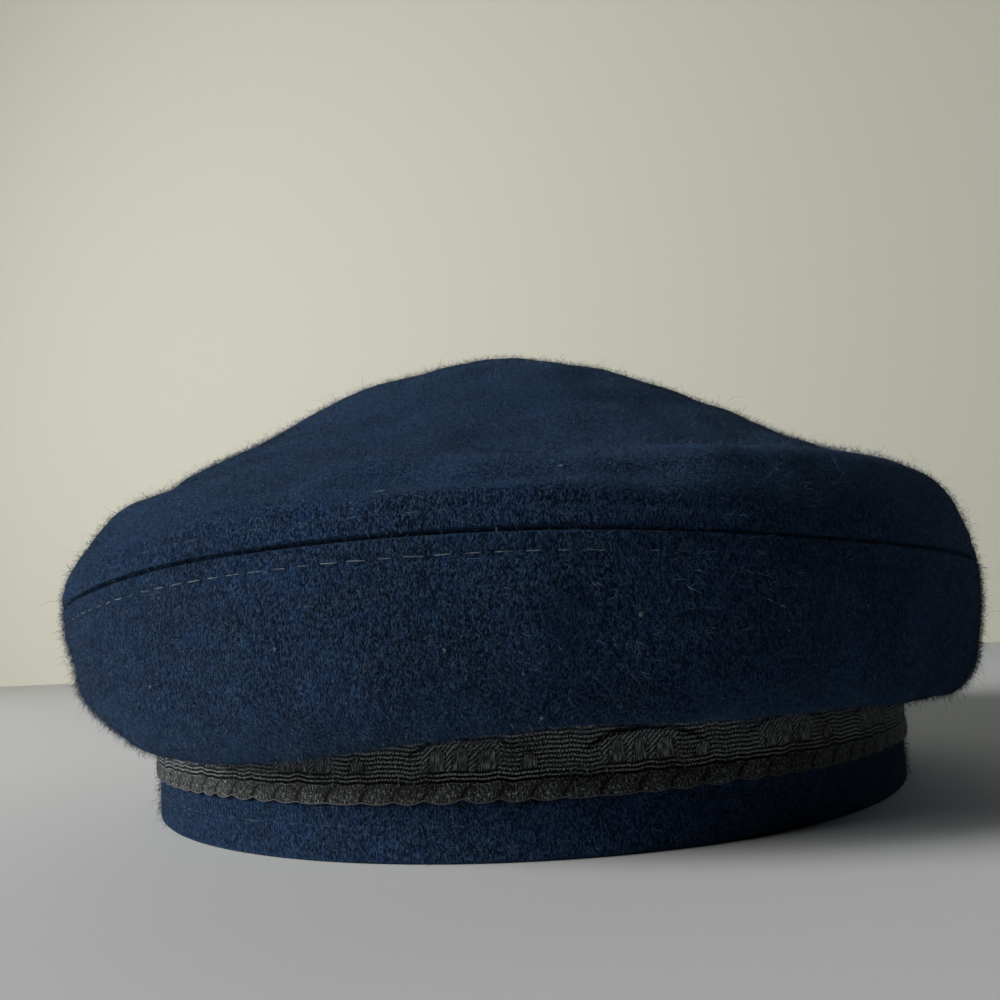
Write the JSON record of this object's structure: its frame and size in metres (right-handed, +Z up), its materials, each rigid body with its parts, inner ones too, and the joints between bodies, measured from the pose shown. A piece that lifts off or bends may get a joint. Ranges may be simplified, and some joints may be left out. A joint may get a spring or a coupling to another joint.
{
  "type": "fisherman cap",
  "caption": "Navy wool fisherman cap: a full two-panel crown drooping over an upright band with a black leaf-woven trim, and a short sloping peak in front.",
  "frame": {"origin": "middle of the cap's footprint, on the surface it rests on", "axes": "+Z up, -Y the way the wearer faces and the peak points, +X to the wearer's left"},
  "size_m": [0.1986, 0.2602, 0.0995],
  "materials": {
    "navy_wool": "milled wool cloth with a short matt nap",
    "black_braid": "jacquard ribbon with a soft satin shine"
  },
  "bodies": {
    "root": {"crown_top": "navy_wool", "crown_side": "navy_wool", "band": "navy_wool", "trim": "black_braid", "peak": "navy_wool"}
  },
  "joints": []
}
